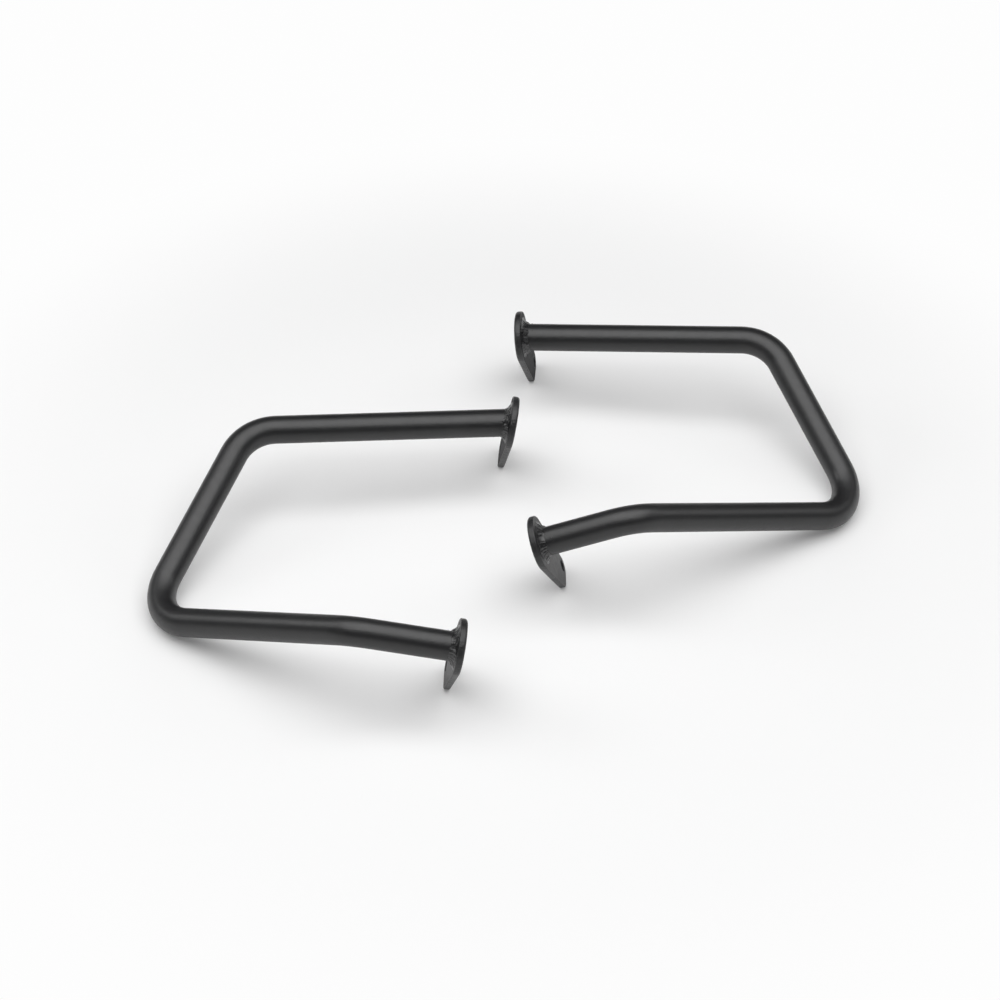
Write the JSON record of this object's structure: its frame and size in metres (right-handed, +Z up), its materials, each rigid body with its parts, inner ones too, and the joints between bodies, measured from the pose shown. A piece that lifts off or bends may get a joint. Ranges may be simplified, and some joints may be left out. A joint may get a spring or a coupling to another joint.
{
  "type": "motorcycle crash bars",
  "caption": "Left and right engine guards of bent steel tube with a welded bolt-on plate at each end, standing out from the frame to take the weight in a fall.",
  "frame": {"origin": "middle of the pair's footprint, on the floor the bars lie on", "axes": "+X from the left bar to the right bar, +Y to the back, away from the camera, +Z up off the floor"},
  "size_m": [0.6271, 0.4908, 0.1014],
  "materials": {
    "powder_coat": "satin black powder coat with a fine grain",
    "coated_weld": "satin black powder coat over a rippled bead"
  },
  "bodies": {
    "root": {"left_tube": "powder_coat", "left_upper_plate": "powder_coat", "left_lower_plate": "powder_coat", "left_upper_weld": "coated_weld", "left_lower_weld": "coated_weld", "right_tube": "powder_coat", "right_upper_plate": "powder_coat", "right_lower_plate": "powder_coat", "right_upper_weld": "coated_weld", "right_lower_weld": "coated_weld"}
  },
  "joints": []
}
